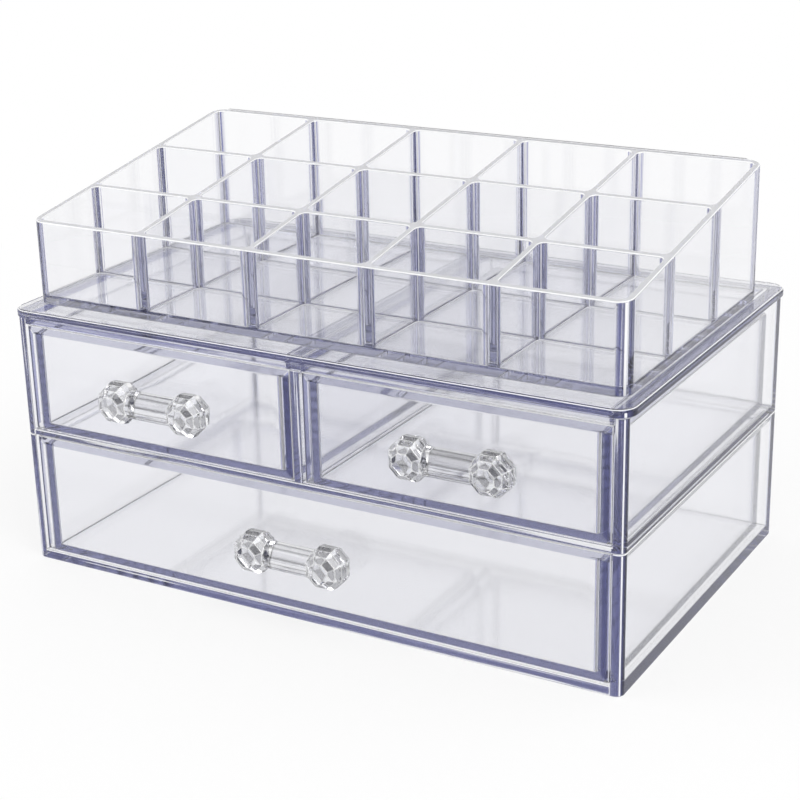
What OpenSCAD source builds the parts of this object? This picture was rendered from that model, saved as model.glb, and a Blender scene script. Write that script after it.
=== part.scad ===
// Clear tabletop make-up organizer: two stacked casings with three drawers,
// a flanged top plate, and a loose sorting tray with open compartments.
// Millimetres, +Z up. X runs across the width, the drawers pull towards -Y.
// The origin is on the standing face, under the middle of the casings.

/* [Casings] */
// Width of both casings, outside
case_w = 237; // [200:1:300]
// Depth of both casings, outside
case_d = 144; // [110:1:200]
// Thickness of the casings' side walls
case_wall = 4; // [2.5:0.1:6]
// Thickness of the casings' back walls
case_back_t = 3; // [2:0.1:5]
// Radius of the casings' four upright corners
case_corner_r = 3; // [1:0.1:6]
// Thickness of the lower casing's floor
floor_t = 3.6; // [2.4:0.1:5]
// Height of the lower casing
lower_h = 49.8; // [38:0.1:70]
// Thickness of the upper casing's floor, which is the lower drawer's ceiling
shelf_t = 2.2; // [1.6:0.1:4]
// Height of the upper casing, with its floor
upper_h = 45.2; // [36:0.1:70]
// Depth of the lips under the upper casing that locate it in the lower one
casing_lip_h = 3.6; // [1.5:0.1:5]
// Depth of the lips under the top plate that locate it in the upper casing
plate_lip_h = 2.6; // [1.5:0.1:4]
// Thickness of the lips
lip_t = 1.8; // [1:0.1:2]
// Gap between a lip and the wall that it locates
lip_gap = 0.2; // [0.1:0.05:0.3]

/* [Centre divider] */
// Thickness of the divider between the two small drawers
divider_t = 3.5; // [2:0.1:6]

/* [Top plate] */
// Thickness of the top plate
top_t = 3; // [2:0.1:5]
// Overhang of the top plate past the casings, all round
top_overhang = 1.5; // [0.5:0.1:4]
// Radius of the top plate's corners
top_corner_r = 7; // [3:0.5:15]

/* [Drawers] */
// Gap between a front panel's end and the wall beside it
panel_side_gap = 0.5; // [0.3:0.1:1]
// Height of a drawer above the floor that it slides on
run_gap = 0.3; // [0.1:0.05:0.6]
// Space above a front panel
panel_top_gap = 0.3; // [0.2:0.1:1]
// Space behind a closed drawer
drawer_back_gap = 2.8; // [2.5:0.1:8]
// Thickness of a drawer's front panel
front_t = 3.6; // [2.6:0.1:8]
// Width of the bevel round the front panel
bevel_w = 2.9; // [1:0.1:6]
// Depth of that bevel
bevel_depth = 0.8; // [0.3:0.1:2]
// Distance of a drawer's sides in from the ends of its front panel
side_inset = 2.3; // [2:0.1:5]
// Thickness of a drawer's sides and back
drawer_wall = 2.4; // [1.6:0.1:4]
// Thickness of a drawer's floor
drawer_floor_t = 2.2; // [1.4:0.1:4]
// Distance from the top of the front panel down to the top of the sides
side_drop = 3.6; // [3.5:0.1:15]
// Radius of the upright corners inside a drawer
drawer_inner_r = 1.5; // [0.5:0.1:5]

/* [Handles] */
// Distance between the centres of a handle's two beads
bead_pitch = 29; // [22:0.5:45]
// Distance of the small drawers' handles to the right of their fronts' middles
handle_shift = 4; // [0:0.5:10]
// Width of a bead across its flats
bead_w = 14.8; // [10:0.1:20]
// Length of a bead, from the panel to its front face
bead_len = 13; // [8:0.5:20]
// Sides round a bead
bead_sides = 8; // [6:2:12]
// Rows of facets from a bead's middle to its end
bead_rows = 3; // [2:1:4]
// Slope angle at which a bead's facets end in its flat face
bead_end_angle = 60; // [45:1:70]
// Diameter of the grip bar
grip_d = 10; // [6:0.5:12]
// Diameter of the peg behind each bead
peg_d = 4; // [2.5:0.1:6]
// Gap round a peg in its hole
peg_gap = 0.1; // [0.05:0.05:0.3]

/* [Sorting tray] */
// Width of the tray
tray_w = 230; // [180:1:290]
// Depth of the tray
tray_d = 118; // [90:1:180]
// Distance of the tray's middle in front of the casings' middle
tray_forward = 4.5; // [0:0.5:8]
// Height of the tray's front wall
tray_front_h = 30.5; // [20:0.5:50]
// Height of the tray's back wall
tray_back_h = 49; // [30:0.5:80]
// Thickness of the tray's floor
tray_floor_t = 2.8; // [2:0.1:6]
// Thickness of the tray's outer walls
tray_wall = 2.5; // [1.8:0.1:4]
// Thickness of the walls between the compartments
partition_t = 2.4; // [1.6:0.1:4]
// Columns of compartments across the tray
columns = 5; // [3:1:7]
// Depth of the front row of compartments
front_row_d = 31.5; // [20:0.5:45]
// Radius of the tray's outer corners
tray_corner_r = 5; // [3:0.5:10]
// Radius of the corners inside a compartment
cell_corner_r = 2.2; // [0.5:0.1:5]

/* [Hidden] */
$fn = 48;
// How far a cutting solid passes the face that it cuts
over = 1;

// Levels and planes that the pieces share
shelf_top = lower_h + shelf_t;
case_top = lower_h + upper_h;
plate_top = case_top + top_t;
front_y = -case_d / 2;
back_inside_y = case_d / 2 - case_back_t;
bay_w = case_w - 2 * case_wall;
small_bay_w = (bay_w - divider_t) / 2;
small_bay_x = (small_bay_w + divider_t) / 2;

// Drawer sizes that follow from the bays
drawer_d = back_inside_y - drawer_back_gap - front_y;
wide_w = bay_w - 2 * panel_side_gap;
wide_z = floor_t + run_gap;
wide_h = lower_h - panel_top_gap - wide_z;
small_w = small_bay_w - 2 * panel_side_gap;
small_z = shelf_top + run_gap;
small_h = case_top - plate_lip_h - panel_top_gap - small_z;

// Compartments of the tray
tray_y = -tray_forward;
cells_w = tray_w - 2 * tray_wall;
cells_d = tray_d - 2 * tray_wall;
cell_w = (cells_w - (columns - 1) * partition_t) / columns;
deep_row_d = (cells_d - front_row_d - 2 * partition_t) / 2;
// Front edge and depth of each row, measured from the tray's inner front face
rows = [[0, front_row_d],
        [front_row_d + partition_t, deep_row_d],
        [front_row_d + deep_row_d + 2 * partition_t, deep_row_d]];

clear_plastic = [0.86, 0.87, 0.95, 0.45];
pale_plastic = [0.90, 0.91, 0.97, 0.45];
handle_plastic = [0.80, 0.82, 0.92, 0.6];

// A plate with round upright corners, centred on X and Y
module round_plate(w, d, h, r) {
    linear_extrude(height = h) union() {
        square([w - 2 * r, d], center = true);
        square([w, d - 2 * r], center = true);
        for (x = [-1, 1], y = [-1, 1])
            translate([x * (w / 2 - r), y * (d / 2 - r)]) circle(r = r);
    }
}

// One casing: floor, two sides and a back, open at the front and the top
module casing(h, base_t) {
    difference() {
        round_plate(case_w, case_d, h, case_corner_r);
        translate([-bay_w / 2, front_y - over, base_t])
            cube([bay_w, back_inside_y - front_y + over, h]);
    }
}

// A lip that hangs down h from level z, on the side of x that dir points to,
// from the plane y0 back to the rear lip
module side_lip(x, dir, y0, z, h) {
    translate([x + dir * (lip_gap + lip_t / 2) - lip_t / 2, y0, z - h])
        cube([lip_t, back_inside_y - lip_gap - y0, h]);
}

// The lips inside both side walls and the back wall, starting at the plane y0
module wall_lips(y0, z, h) {
    side_lip(-bay_w / 2, 1, y0, z, h);
    side_lip(bay_w / 2, -1, y0, z, h);
    translate([-bay_w / 2 + lip_gap, back_inside_y - lip_gap - lip_t, z - h])
        cube([bay_w - 2 * lip_gap, lip_t, h]);
}

module lower_casing() {
    color(clear_plastic) casing(lower_h, floor_t);
}

module upper_casing() {
    color(clear_plastic) union() {
        translate([0, 0, lower_h]) casing(upper_h, shelf_t);
        // These lips start behind the wide drawer's front panel
        wall_lips(front_y + front_t + panel_side_gap, lower_h, casing_lip_h);
    }
}

module centre_divider() {
    color(clear_plastic) difference() {
        translate([-divider_t / 2, front_y, shelf_top])
            cube([divider_t, back_inside_y - front_y, case_top - shelf_top]);
        // Notches that clear the top plate's front lip and rear lip
        for (y = [front_y - over, back_inside_y - 2 * lip_gap - lip_t])
            translate([-divider_t / 2 - over, y, case_top - plate_lip_h - lip_gap])
                cube([divider_t + 2 * over, lip_t + lip_gap + over, plate_lip_h + lip_gap + over]);
    }
}

module top_plate() {
    color(clear_plastic) union() {
        translate([0, 0, case_top])
            round_plate(case_w + 2 * top_overhang, case_d + 2 * top_overhang, top_t, top_corner_r);
        wall_lips(front_y, case_top, plate_lip_h);
        // The front lip closes the space above the small drawers' fronts
        translate([-bay_w / 2 + lip_gap, front_y, case_top - plate_lip_h])
            cube([bay_w - 2 * lip_gap, lip_t, plate_lip_h]);
        // Two more lips hold the divider's top edge between them
        side_lip(-divider_t / 2, -1, front_y, case_top, plate_lip_h);
        side_lip(divider_t / 2, 1, front_y, case_top, plate_lip_h);
    }
}

module sorting_tray() {
    slope = (tray_back_h - tray_front_h) / tray_d;
    color(pale_plastic) translate([0, tray_y, plate_top]) difference() {
        round_plate(tray_w, tray_d, tray_back_h, tray_corner_r);
        // The plane that slopes every upper edge from the back down to the front
        translate([-tray_w / 2 - over, 0, 0]) rotate([90, 0, 90])
            linear_extrude(height = tray_w + 2 * over)
                polygon([[-tray_d / 2 - over, tray_front_h - slope * over],
                         [tray_d / 2 + over, tray_back_h + slope * over],
                         [tray_d / 2 + over, tray_back_h + over],
                         [-tray_d / 2 - over, tray_back_h + over]]);
        for (c = [0:columns - 1], row = rows)
            translate([(c - (columns - 1) / 2) * (cell_w + partition_t),
                       -cells_d / 2 + row[0] + row[1] / 2, tray_floor_t])
                round_plate(cell_w, row[1], tray_back_h, cell_corner_r);
    }
}

// The front panel, with a bevel that slopes back along all four edges
module front_panel(w, h) {
    intersection() {
        linear_extrude(height = h)
            polygon([[-w / 2, front_t], [-w / 2, bevel_depth], [-w / 2 + bevel_w, 0],
                     [w / 2 - bevel_w, 0], [w / 2, bevel_depth], [w / 2, front_t]]);
        translate([-w / 2, 0, 0]) rotate([90, 0, 90]) linear_extrude(height = w)
            polygon([[front_t, 0], [bevel_depth, 0], [0, bevel_w],
                     [0, h - bevel_w], [bevel_depth, h], [front_t, h]]);
    }
}

// One drawer, its front face on y = 0, its floor on z = 0 and its handle at handle_x
module drawer(w, h, handle_x) {
    box_w = w - 2 * side_inset;
    inner_d = drawer_d - front_t - drawer_wall;
    difference() {
        union() {
            front_panel(w, h);
            translate([-box_w / 2, front_t, 0]) cube([box_w, drawer_d - front_t, h - side_drop]);
        }
        translate([0, front_t + inner_d / 2, drawer_floor_t])
            round_plate(box_w - 2 * drawer_wall, inner_d, h, drawer_inner_r);
        // Holes for the handle's two pegs
        for (side = [-1, 1])
            translate([handle_x + side * bead_pitch / 2, -over, h / 2]) rotate([-90, 0, 0])
                cylinder(d = peg_d + 2 * peg_gap, h = front_t + 2 * over);
    }
}

// A bead: rings of flat facets whose radii follow a quarter circle each way
module bead() {
    reach = bead_len / 2 / sin(bead_end_angle);
    corner_r = bead_w / 2 / cos(180 / bead_sides);
    ring_angles = [for (i = [-bead_rows:bead_rows]) i * bead_end_angle / bead_rows];
    outline = concat([[0, -bead_len / 2]],
                     [for (a = ring_angles) [corner_r * cos(a), reach * sin(a)]],
                     [[0, bead_len / 2]]);
    rotate([90, 0, 0]) rotate([0, 0, 180 / bead_sides])
        rotate_extrude($fn = bead_sides) polygon(outline);
}

// One handle on a panel face at y = 0: two beads, the bar and two pegs
module handle() {
    for (side = [-1, 1]) translate([side * bead_pitch / 2, 0, 0]) {
        translate([0, -bead_len / 2, 0]) bead();
        translate([0, -bead_len / 4, 0]) rotate([-90, 0, 0])
            cylinder(d = peg_d, h = front_t + bead_len / 4);
    }
    translate([-bead_pitch / 2, -bead_len / 2, 0]) rotate([0, 90, 0])
        cylinder(d = grip_d, h = bead_pitch);
}

module left_drawer() {
    color(pale_plastic) translate([-small_bay_x, front_y, small_z]) drawer(small_w, small_h, handle_shift);
}

module right_drawer() {
    color(pale_plastic) translate([small_bay_x, front_y, small_z]) drawer(small_w, small_h, handle_shift);
}

module wide_drawer() {
    color(pale_plastic) translate([0, front_y, wide_z]) drawer(wide_w, wide_h, 0);
}

module left_handle() {
    color(handle_plastic)
        translate([handle_shift - small_bay_x, front_y, small_z + small_h / 2]) handle();
}

module right_handle() {
    color(handle_plastic)
        translate([handle_shift + small_bay_x, front_y, small_z + small_h / 2]) handle();
}

module wide_handle() {
    color(handle_plastic) translate([0, front_y, wide_z + wide_h / 2]) handle();
}

lower_casing();
upper_casing();
centre_divider();
top_plate();
sorting_tray();
left_drawer();
right_drawer();
wide_drawer();
left_handle();
right_handle();
wide_handle();
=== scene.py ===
"""Looks for the clear make-up organizer: crystal plastic, studio floor, lights and camera.

Metres, in the CAD frame. The CAD nodes keep their meshes: modifiers round their
edges and leave hair-thin air gaps between the mouldings.
"""
import math

import bpy
from mathutils import Matrix, Vector


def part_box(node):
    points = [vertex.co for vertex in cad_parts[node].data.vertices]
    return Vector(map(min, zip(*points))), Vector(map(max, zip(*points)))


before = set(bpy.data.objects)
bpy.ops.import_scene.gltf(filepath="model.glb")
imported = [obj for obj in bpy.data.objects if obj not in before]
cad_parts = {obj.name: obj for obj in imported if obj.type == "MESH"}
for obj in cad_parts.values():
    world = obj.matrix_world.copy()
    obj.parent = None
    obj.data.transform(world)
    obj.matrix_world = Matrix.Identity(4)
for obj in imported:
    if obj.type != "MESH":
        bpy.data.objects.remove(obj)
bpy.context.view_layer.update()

WHITE = (1, 1, 1, 1)

# Camera, solved from the photograph: its place, its view direction in degrees and its lens
CAMERA_PLACE = Vector((0.32001, -0.55644, 0.29542))
CAMERA_AZIMUTH = 30.01
CAMERA_ELEVATION = 20.29
CAMERA_ROLL = -1.36
CAMERA_LENS = 83.73
SENSOR_WIDTH = 36
CLIP_START = 0.01

# Radius that rounds the edges of each moulding. The handles keep their sharp facets
EDGE_RADIUS = {
    "sorting_tray": 0.0005,
    "top_plate": 0.00035,
    "lower_casing": 0.0005,
    "upper_casing": 0.0005,
    "centre_divider": 0.0003,
    "left_drawer": 0.00045,
    "right_drawer": 0.00045,
    "wide_drawer": 0.00045,
}
EDGE_SEGMENTS = 3
# Edges from this angle on are rounded. The bevels round the drawers' fronts are shallow
EDGE_ANGLE = 25
DRAWER_EDGE_ANGLE = 12
# Wider rounding of upper rims: how far above the node's foot the rim's points lie, and its radius
RIM = {"top_plate": (0.0055, 0.0012)}
RIM_SEGMENTS = 5
# The air gap that each moulding leaves round itself
AIR_GAP = 0.00004
# Points closer than this are one, and faces flatter than this angle are one
SAME_POINT = 0.000001
FLAT_ANGLE = 0.5
# Flat faces count fully in the shading of the edges beside them
FLAT_WEIGHT = 100
FLAT_THRESHOLD = 0.0001

# How much light still passes where a surface shows a painted white highlight line
HIGHLIGHT_CLEARNESS = 0.12
# How softly the painted highlight lines begin and end, as a rise of the normal
HIGHLIGHT_BEGIN, HIGHLIGHT_END = 0.08, 0.05
# Painted dark reflections, deep streaks on the round corners: their colour, how they change
# with the place and with the way that the surface faces, and the least of them
PAINTED_REFLECTION_DARK = (0.18, 0.19, 0.40, 1)
STREAK_SCALE = (9.0, 9.0, 9.0)
STREAK_BEND = 5.0
STREAK_LEAST = 0.4
# How white the painted highlights are on the tops of the tray's walls and the upright faces of its
# foot
TOP_HIGHLIGHT = 0.55
FOOT_HIGHLIGHT = 0.35
# Width of the painted highlight lines along a handle's facets, and what picks the greys of the painted
# reflections on its facets
FACET_HIGHLIGHT_WIDTH = 0.0005
SPARKLE_SHIFT = (5.2, 2.3, 0.4)
SPARKLE_SCALE = 3.6
# Painted highlights and painted dark reflections as streaks on narrow edge faces: whitest, deepest and
# shallowest
PAINTED_STREAK_TONES = {"front": (0.75, 0.8, 0.0), "rim": (0.35, 0.85, 0.2)}
# Noise of those painted streaks, which runs long along level edges and along upright ones
LEVEL_STREAK_NOISE = (10.0, 10.0, 800.0)
UPRIGHT_STREAK_NOISE = (800.0, 30.0, 12.0)
# From how far off the middle a front's painted streaks stand upright, as parts of its width
POST_ENDS = (0.48, 0.484)
WHOLE_FRONT = (0.0, 0.001)

# The room that the plastic mirrors: its opening lies towards the camera
ROOM_DARK = (0.045, 0.048, 0.08, 1)
OPENING = (0.5, -0.866, 0.0)
ASIDE = (0.866, 0.5, 0.0)
WORLD_LIGHT = 0.8

# The paper floor: half its width, its place just below the object, how much of the white
# backdrop shows beside the object, and the painted light on the paper seen through its plastic
FLOOR_REACH = 4.0
FLOOR_DROP = 0.0002
FLOOR_COLOUR = (0.97, 0.97, 0.97, 1)
FADE_FROM, FADE_TO = 0.18, 0.5
BACKDROP_NEAR = 0.78
PAINTED_LIGHT_THROUGH = 0.88

# Light bounces, many because rays run far inside clear walls
BOUNCES = 128
GLOSSY_BOUNCES = 64
TRANSPARENT_BOUNCES = 16


class Shading:
    """Adds nodes to one node tree. Where it takes a value, this is a number or another
    node's output."""

    def __init__(self, tree):
        self.tree = tree

    def node(self, kind, **settings):
        made = self.tree.nodes.new("ShaderNode" + kind)
        for name, setting in settings.items():
            setattr(made, name, setting)
        return made

    def feed(self, socket, value):
        if isinstance(value, bpy.types.NodeSocket):
            self.tree.links.new(value, socket)
        else:
            socket.default_value = value

    def fill(self, kind, inputs, **settings):
        """A node with its inputs, given by name or number."""
        made = self.node(kind, **settings)
        for key, value in inputs.items():
            self.feed(made.inputs[key], value)
        return made

    def maths(self, operation, *values):
        return self.fill("Math", dict(enumerate(values)), operation=operation).outputs[0]

    def size_of(self, value):
        return self.maths("ABSOLUTE", value)

    def both(self, first, second):
        return self.maths("MULTIPLY", first, second)

    def most(self, first, second):
        return self.maths("MAXIMUM", first, second)

    def vector(self, operation, first, second):
        """Two vectors joined, as a vector."""
        return self.fill("VectorMath", {0: first, 1: second}, operation=operation).outputs["Vector"]

    def along(self, first, second):
        """How far one direction points along another, from -1 to 1."""
        return self.fill("VectorMath", {0: first, 1: second}, operation="DOT_PRODUCT").outputs["Value"]

    def parts(self, vector):
        """The X, Y and Z of a vector, by name."""
        return self.fill("SeparateXYZ", {0: vector}).outputs

    def ramp(self, value, start, end, low, high, kind="LINEAR"):
        """From low to high while value goes from start to end."""
        inputs = {"Value": value, "From Min": start, "From Max": end, "To Min": low, "To Max": high}
        return self.fill("MapRange", inputs, interpolation_type=kind).outputs["Result"]

    def band(self, value, start, end, low, high):
        """The same as a soft step."""
        return self.ramp(value, start, end, low, high, "SMOOTHSTEP")

    def stretch(self, vector, scale):
        return self.fill("Mapping", {"Vector": vector, "Scale": scale}).outputs["Vector"]

    def noise(self, vector, scale, detail):
        inputs = {"Vector": vector, "Scale": scale, "Detail": detail}
        return self.fill("TexNoise", inputs).outputs["Fac"]

    def blend(self, factor, first, second):
        """From one number to another while factor goes from 0 to 1."""
        return self.fill("Mix", {"Factor": factor, 2: first, 3: second}).outputs[0]

    def blend_colour(self, factor, first, second):
        return self.fill("Mix", {"Factor": factor, 6: first, 7: second}, data_type="RGBA").outputs[2]

    def blend_shader(self, factor, first, second):
        return self.fill("MixShader", {"Fac": factor, 1: first, 2: second}).outputs[0]

    def seen_white(self):
        """1 for camera, glossy and transmission rays, 0 for the light that falls on things."""
        path = self.node("LightPath").outputs
        seen = self.most(path["Is Camera Ray"], path["Is Glossy Ray"])
        return self.most(seen, path["Is Transmission Ray"])


class Plastic(Shading):
    """Shading with the masks that paint highlights and dark reflections onto a moulding: each is 0 to
    1 over the surface.
    """

    def __init__(self, tree):
        super().__init__(tree)
        place = self.node("TexCoord").outputs
        self.place = place["Object"]
        self.normal = place["Normal"]
        self.facing = self.parts(self.normal)
        self.spot = self.parts(place["Generated"])
        # How much a face looks up or down, whether it is upright, and how much it looks half way
        # between two sides, up to a half
        self.rise = self.size_of(self.facing["Z"])
        self.upright = self.band(self.rise, 0.1, 0.2, 1.0, 0.0)
        self.halfway = self.size_of(self.both(self.facing["X"], self.facing["Y"]))

    def painted_edge_highlights(self, narrow, tilt):
        """Painted highlights: fine white lines on the rounding of moulded edges, where it would catch
        the light.
        Level edges have it where their normal rises by tilt, from and to, and upright
        corners only where they face half way, narrow wide."""
        begin, end = tilt
        level = self.both(self.band(self.rise, begin, begin + HIGHLIGHT_BEGIN, 0.0, 1.0),
                          self.band(self.rise, end - HIGHLIGHT_END, end, 1.0, 0.0))
        corner = self.band(self.halfway, 0.5 - narrow, 0.5 - narrow / 2, 0.0, 1.0)
        return self.most(level, self.both(self.upright, corner))

    def painted_corner_reflections(self):
        """Painted dark reflections: deep streaks along the round upright corners, which bend the light
        of the dark room most.
        """
        spot = self.stretch(self.place, STREAK_SCALE)
        bend = self.fill("VectorMath", {0: self.normal, "Scale": STREAK_BEND}, operation="SCALE")
        streak = self.noise(self.vector("ADD", spot, bend.outputs["Vector"]), 1.0, 0.0)
        corner = self.both(self.upright, self.band(self.halfway, 0.1, 0.25, 0.0, 1.0))
        return self.both(corner, self.band(streak, 0.44, 0.54, STREAK_LEAST, 1.0))

    def painted_edge_streaks(self, kind, upright_from=POST_ENDS):
        """Painted highlights and painted dark reflections as light and deep streaks along the narrow
        edge faces, where light runs far inside the walls: across a plate's rim (kind "rim") or on a
        casing's front (kind "front")."""
        painted_streaks = self.noise(self.stretch(self.place, LEVEL_STREAK_NOISE), 1.0, 2.0)
        if kind == "rim":
            shown = self.band(self.rise, 0.1, 0.3, 1.0, 0.0)
        else:
            shown = self.both(self.band(self.facing["Y"], -0.9, -0.6, 1.0, 0.0),
                              self.band(self.spot["Y"], 0.02, 0.04, 1.0, 0.0))
            off_middle = self.size_of(self.maths("SUBTRACT", self.spot["X"], 0.5))
            upright = self.noise(self.stretch(self.place, UPRIGHT_STREAK_NOISE), 1.0, 2.0)
            painted_streaks = self.blend(self.band(off_middle, *upright_from, 0.0, 1.0), painted_streaks, upright)
        whitest, deepest, shallowest = PAINTED_STREAK_TONES[kind]
        light = self.both(shown, self.band(painted_streaks, 0.54, 0.62, 0.0, whitest))
        deep = self.both(shown, self.band(painted_streaks, 0.4, 0.55, deepest, shallowest))
        if kind == "rim":
            # Painted reflection: the rim's sides are painted deeper, as they mirror the dark room more
            # than its front does
            sideways = self.band(self.size_of(self.facing["X"]), 0.7, 0.9, 0.0, 1.0)
            stripes = self.band(painted_streaks, 0.5, 0.58, 1.0, 0.6)
            deep = self.most(deep, self.both(self.both(shown, sideways), stripes))
        return light, deep

    def painted_top_highlights(self, foot):
        """Painted highlight: part white on the narrow upper faces of the walls, well above the foot.
        """
        return self.both(self.band(self.spot["Z"], foot * 2, foot * 3, 0.0, TOP_HIGHLIGHT),
                         self.band(self.facing["Z"], 0.8, 0.9, 0.0, 1.0))

    def painted_foot_highlight(self, height):
        """Painted highlight: part white on the upright faces of the foot, up to height as a part of
        the whole.
        """
        return self.both(self.band(self.spot["Z"], height * 0.9, height, FOOT_HIGHLIGHT, 0.0),
                         self.band(self.rise, 0.2, 0.4, 1.0, 0.0))

    def painted_bevel_shade(self, depth):
        """Painted shade, deep on the shallow bevels round a front panel, strongest on the upper one.
        """
        front = self.band(self.facing["Y"], -0.94, -0.9, 1.0, 0.0)
        tilted = self.band(self.facing["Y"], -0.99, -0.975, 0.0, 1.0)
        upper = self.band(self.facing["Z"], 0.1, 0.2, depth / 4, depth)
        return self.both(upper, self.both(front, tilted))

    def painted_facet_highlights(self, width):
        """Painted highlights: 1 along the edges between flat facets, width wide on each side."""
        soft = self.fill("Bevel", {"Radius": width}, samples=4).outputs["Normal"]
        flat = self.node("NewGeometry").outputs["True Normal"]
        return self.band(self.size_of(self.along(soft, flat)), 0.9965, 0.9995, 1.0, 0.0)

    def painted_tone(self, painted_dark_reflections, painted_highlights):
        """Base colour: white, with painted dark reflections as deep streaks that the painted white
        highlight lines run over.
        """
        return self.blend_colour(painted_highlights, self.blend_colour(painted_dark_reflections, WHITE, PAINTED_REFLECTION_DARK), WHITE)

    def painted_facet_tone(self, painted_highlights):
        """Base colour of cut facets, with painted reflections: each has a grey of its own, with
        painted white highlight lines between.
        """
        turned = self.vector("ADD", self.normal, SPARKLE_SHIFT)
        tone = self.band(self.noise(turned, SPARKLE_SCALE, 1.0), 0.38, 0.5, 0.25, 1.0)
        grey = dict.fromkeys(("Red", "Green", "Blue"), self.most(tone, painted_highlights))
        return self.fill("CombineColor", grey).outputs["Color"]


def clear_plastic(name, tint, density, rough, wave_scale, wave_depth, speck_scale, ior=1.5,
                  narrow=None, tilt=(0.35, 0.97), painted_streaks=None, foot=None, painted_bevel_depth=None):
    """Polished clear plastic: a tint that builds up along thick edges, a faint moulded
    waviness and a fine variation of the polish. Where narrow is given, it is for rounded
    edges, with painted white highlight lines and painted dark reflections on them, and
    otherwise for cut facets, with painted reflections and highlight lines on them."""
    mat = bpy.data.materials.new(name)
    mat.use_nodes = True
    shade = Plastic(mat.node_tree)
    shader = mat.node_tree.nodes["Principled BSDF"].inputs
    out = mat.node_tree.nodes["Material Output"].inputs
    shader["IOR"].default_value = ior
    shader["Specular IOR Level"].default_value = 0.5

    inside = shade.fill("VolumeAbsorption", {"Color": (*tint, 1), "Density": density})
    shade.feed(out["Volume"], inside.outputs["Volume"])
    wave = shade.noise(shade.place, wave_scale, 1.0)
    bump = shade.fill("Bump", {"Strength": 1.0, "Distance": wave_depth, "Height": wave})
    shade.feed(shader["Normal"], bump.outputs["Normal"])
    speck = shade.noise(shade.place, speck_scale, 3.0)
    shade.feed(shader["Roughness"], shade.ramp(speck, 0.45, 0.8, rough / 2, rough))

    # Painted light: white highlight lines and dark reflections go into the base colour, and where the
    # highlights are the plastic is made less clear
    if narrow:
        painted_highlights, painted_dark_reflections = shade.painted_edge_highlights(narrow, tilt), shade.painted_corner_reflections()
        if painted_streaks:
            light, deep = shade.painted_edge_streaks(*painted_streaks)
            painted_highlights, painted_dark_reflections = shade.most(painted_highlights, light), shade.most(painted_dark_reflections, deep)
        if painted_bevel_depth:
            painted_dark_reflections = shade.most(painted_dark_reflections, shade.painted_bevel_shade(painted_bevel_depth))
        shade.feed(shader["Base Color"], shade.painted_tone(painted_dark_reflections, painted_highlights))
        if foot:
            painted_highlights = shade.most(painted_highlights, shade.painted_top_highlights(foot))
            painted_highlights = shade.most(painted_highlights, shade.painted_foot_highlight(foot))
    else:
        painted_highlights = shade.painted_facet_highlights(FACET_HIGHLIGHT_WIDTH)
        shade.feed(shader["Base Color"], shade.painted_facet_tone(painted_highlights))
    shade.feed(shader["Transmission Weight"], shade.band(painted_highlights, 0.0, 1.0, 1.0, HIGHLIGHT_CLEARNESS))
    return mat


TINT = (0.26, 0.28, 0.56)
CASING = {"tint": TINT, "density": 11.5, "rough": 0.08, "wave_scale": 18.0,
          "wave_depth": 0.00001, "speck_scale": 240.0, "narrow": 0.012}
# Each look's settings below also shape its painted highlights, painted dark reflections and painted
# bevel shade
LOOK = {
    "casing": clear_plastic("casing_plastic", **CASING, painted_streaks=("front", POST_ENDS)),
    "divider": clear_plastic("divider_plastic", **CASING, painted_streaks=("front", WHOLE_FRONT)),
    "plate": clear_plastic("plate_plastic", tint=TINT, density=13.0, rough=0.08, wave_scale=18.0,
                           wave_depth=0.00001, speck_scale=240.0, narrow=0.006, tilt=(0.6, 0.86),
                           painted_streaks=("rim",)),
    "drawer": clear_plastic("drawer_plastic", tint=TINT, density=12.5, rough=0.07, wave_scale=22.0,
                            wave_depth=0.00002, speck_scale=260.0, narrow=0.12, painted_bevel_depth=0.6),
    "tray": clear_plastic("tray_plastic", tint=(0.26, 0.28, 0.52), density=15.0, rough=0.03,
                          wave_scale=20.0, wave_depth=0.00001, speck_scale=250.0, ior=1.55,
                          narrow=0.012, foot=0.058),
    "handle": clear_plastic("handle_plastic", tint=(0.36, 0.37, 0.5), density=5.0, rough=0.0,
                            wave_scale=60.0, wave_depth=0.000002, speck_scale=400.0, ior=1.55),
}


def modifier(obj, name, kind, **settings):
    made = obj.modifiers.new(name, kind)
    for setting, value in settings.items():
        setattr(made, setting, value)
    return made


def finish_node(name, obj):
    """Dresses a CAD node: its plastic, the air gap round it and its rounded edges."""
    faceted = name.endswith("handle")
    # The imported normals go, so that the modifiers below settle the shading
    custom = obj.data.attributes.get("custom_normal")
    if custom is not None:
        obj.data.attributes.remove(custom)
    obj.data.materials.clear()
    obj.data.materials.append(LOOK[name.split("_")[-1]])
    for polygon in obj.data.polygons:
        polygon.use_smooth = not faceted

    modifier(obj, "weld", "WELD", merge_threshold=SAME_POINT)
    modifier(obj, "flat", "DECIMATE", decimate_type="DISSOLVE", angle_limit=math.radians(FLAT_ANGLE))
    modifier(obj, "gap", "DISPLACE", direction="NORMAL", mid_level=0.0, strength=-AIR_GAP)
    if faceted:
        return
    if name in RIM:
        above, radius = RIM[name]
        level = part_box(name)[0][2] + above
        rim = obj.vertex_groups.new(name="rim")
        rim.add([v.index for v in obj.data.vertices if v.co.z > level], 1.0, "REPLACE")
        modifier(obj, "rim", "BEVEL", width=radius, segments=RIM_SEGMENTS, limit_method="VGROUP",
                 vertex_group="rim", use_clamp_overlap=False)
    least_angle = DRAWER_EDGE_ANGLE if name.endswith("drawer") else EDGE_ANGLE
    modifier(obj, "edge", "BEVEL", width=EDGE_RADIUS[name], segments=EDGE_SEGMENTS,
             limit_method="ANGLE", angle_limit=math.radians(least_angle), use_clamp_overlap=False)
    # Large flat faces keep their own normals, so only the rounded edges shade round
    modifier(obj, "shade", "WEIGHTED_NORMAL", weight=FLAT_WEIGHT, thresh=FLAT_THRESHOLD)


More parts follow.
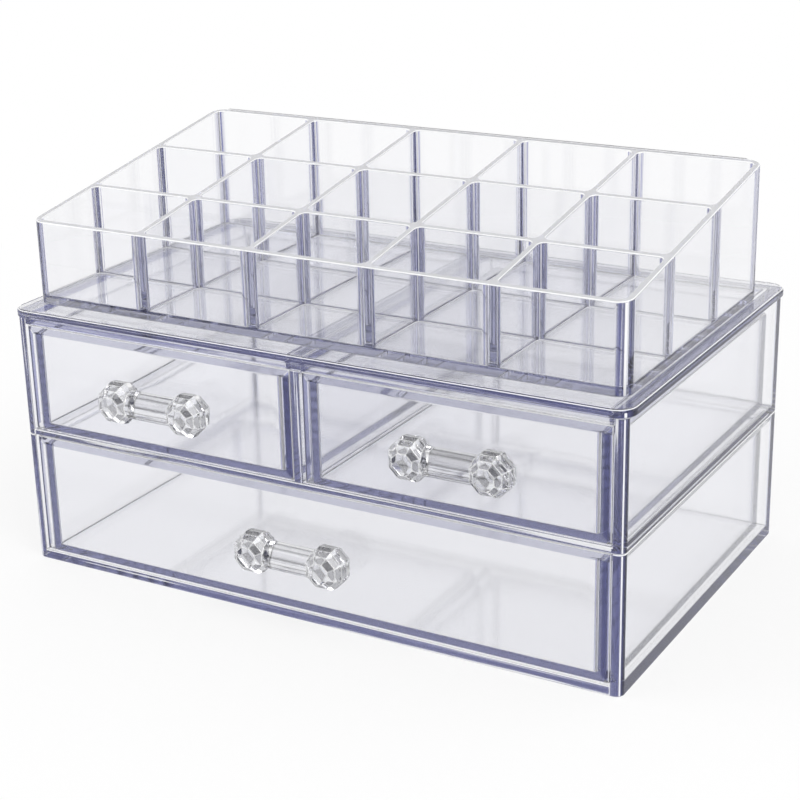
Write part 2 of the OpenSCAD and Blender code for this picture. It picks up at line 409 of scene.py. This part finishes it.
def camera():
    turn, lift, roll = (math.radians(a) for a in (CAMERA_AZIMUTH, CAMERA_ELEVATION, CAMERA_ROLL))
    back = Vector((math.sin(turn) * math.cos(lift), -math.cos(turn) * math.cos(lift), math.sin(lift)))
    right = Vector((math.cos(turn), math.sin(turn), 0))
    up = back.cross(right)
    side = right * math.cos(roll) + up * math.sin(roll)
    top = up * math.cos(roll) - right * math.sin(roll)
    obj = bpy.data.objects.new("camera", bpy.data.cameras.new("camera"))
    bpy.context.scene.collection.objects.link(obj)
    axes = Matrix((side, top, back)).transposed().to_4x4()
    obj.matrix_world = Matrix.Translation(CAMERA_PLACE) @ axes
    obj.data.lens = CAMERA_LENS
    obj.data.sensor_width = SENSOR_WIDTH
    obj.data.clip_start = CLIP_START
    bpy.context.scene.camera = obj


def lamp(name, place, size, watts, target=(0, 0, 0.05)):
    data = bpy.data.lights.new(name, "AREA")
    data.shape = "RECTANGLE"
    data.size, data.size_y = size
    data.energy = watts
    obj = bpy.data.objects.new(name, data)
    bpy.context.scene.collection.objects.link(obj)
    obj.location = place
    obj.rotation_euler = (Vector(target) - Vector(place)).to_track_quat("-Z", "Y").to_euler()


def room():
    """The world: plain light for what it falls on, and for what clear plastic mirrors and
    bends a white tent that is open towards the dark room behind the photographer, with a
    strip light at each side of the opening. The camera sees it white."""
    world = bpy.data.worlds.new("studio")
    bpy.context.scene.world = world
    world.use_nodes = True
    shade = Shading(world.node_tree)
    light = world.node_tree.nodes["Background"]
    light.inputs["Color"].default_value = WHITE
    light.inputs["Strength"].default_value = WORLD_LIGHT

    direction = shade.node("TexCoord").outputs["Generated"]
    tent = shade.band(shade.along(direction, OPENING), 0.25, 0.4, 1.0, 0.0)
    roof = shade.band(shade.parts(direction)["Z"], 0.62, 0.7, 0.0, 1.0)
    aside = shade.size_of(shade.along(direction, ASIDE))
    strips = shade.both(shade.band(aside, 0.3, 0.34, 0.0, 1.0),
                        shade.band(aside, 0.46, 0.5, 1.0, 0.0))
    bright = shade.most(shade.most(tent, roof), strips)
    shown = shade.most(bright, shade.node("LightPath").outputs["Is Camera Ray"])
    tone = shade.blend_colour(shown, ROOM_DARK, WHITE)
    white = shade.fill("Background", {"Color": tone, "Strength": 1.0})
    mixed = shade.blend_shader(shade.seen_white(), light.outputs[0], white.outputs[0])
    shade.feed(world.node_tree.nodes["World Output"].inputs["Surface"], mixed)


def floor():
    """White paper that keeps the object's shadow and fades into the backdrop further out."""
    mesh = bpy.data.meshes.new("floor")
    corners = [(x * FLOOR_REACH, y * FLOOR_REACH, 0) for x, y in ((-1, -1), (1, -1), (1, 1), (-1, 1))]
    mesh.from_pydata(corners, [], [(0, 1, 2, 3)])
    obj = bpy.data.objects.new("floor", mesh)
    bpy.context.scene.collection.objects.link(obj)
    obj.location.z = -FLOOR_DROP

    mat = bpy.data.materials.new("floor")
    mat.use_nodes = True
    shade = Shading(mat.node_tree)
    paper = mat.node_tree.nodes["Principled BSDF"]
    paper.inputs["Base Color"].default_value = FLOOR_COLOUR
    paper.inputs["Roughness"].default_value = 0.9
    paper.inputs["Specular IOR Level"].default_value = 0.0
    glow = shade.fill("Emission", {"Strength": 1.0})
    spot = shade.node("TexCoord").outputs["Object"]
    away = shade.fill("VectorMath", {0: spot}, operation="LENGTH").outputs["Value"]
    shown = shade.both(shade.band(away, FADE_FROM, FADE_TO, BACKDROP_NEAR, 1.0), shade.seen_white())
    # Painted light: seen through the plastic the paper glows lighter, standing in for the light that
    # falls through the clear walls onto it
    painted_light_through = shade.both(shade.node("LightPath").outputs["Is Transmission Ray"], PAINTED_LIGHT_THROUGH)
    mixed = shade.blend_shader(shade.most(shown, painted_light_through), paper.outputs[0], glow.outputs[0])
    shade.feed(mat.node_tree.nodes["Material Output"].inputs["Surface"], mixed)
    mesh.materials.append(mat)


for node_name, node_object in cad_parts.items():
    finish_node(node_name, node_object)
camera()
room()
floor()
lamp("key", (0.9, -0.5, 1.3), (0.7, 0.7), 7.0)
lamp("fill", (-1.1, -0.7, 0.9), (0.6, 0.9), 3.0)

scene = bpy.context.scene
scene.view_settings.view_transform = "Standard"
scene.cycles.max_bounces = BOUNCES
scene.cycles.transmission_bounces = BOUNCES
scene.cycles.glossy_bounces = GLOSSY_BOUNCES
scene.cycles.transparent_max_bounces = TRANSPARENT_BOUNCES
